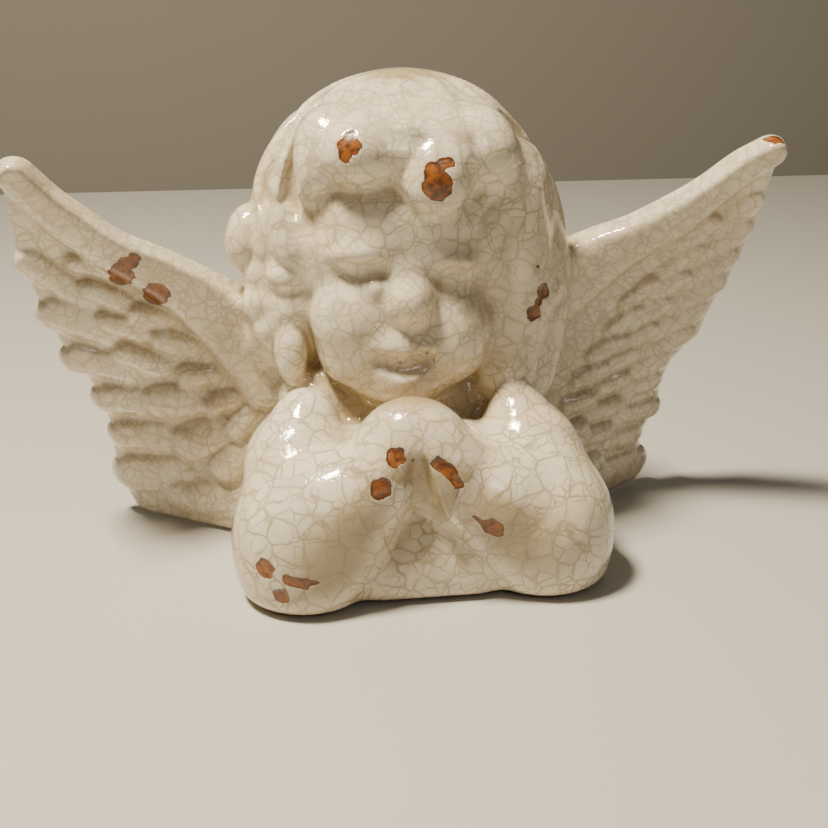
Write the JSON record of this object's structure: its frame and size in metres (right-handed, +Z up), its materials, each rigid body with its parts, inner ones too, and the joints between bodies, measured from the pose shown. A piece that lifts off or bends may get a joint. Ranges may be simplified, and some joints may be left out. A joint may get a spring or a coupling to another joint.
{
  "type": "praying cherub figurine",
  "caption": "Glazed earthenware bust of a winged cherub, chin resting on its joined hands and elbows on the table, with a flat padded foot.",
  "frame": {"origin": "centre of the bounding box's underside, on the surface the felt pads stand on", "axes": "+X to the figure's own left, along the span of the wings; the figure faces -Y; +Z up"},
  "size_m": [0.2838, 0.126, 0.184],
  "materials": {
    "glaze": "gloss",
    "felt": "matte"
  },
  "bodies": {
    "root": {"torso": "glaze", "head": "glaze", "left_arm": "glaze", "right_arm": "glaze", "joined_hands": "glaze", "left_wing": "glaze", "right_wing": "glaze", "felt_pads": "felt"}
  },
  "joints": []
}
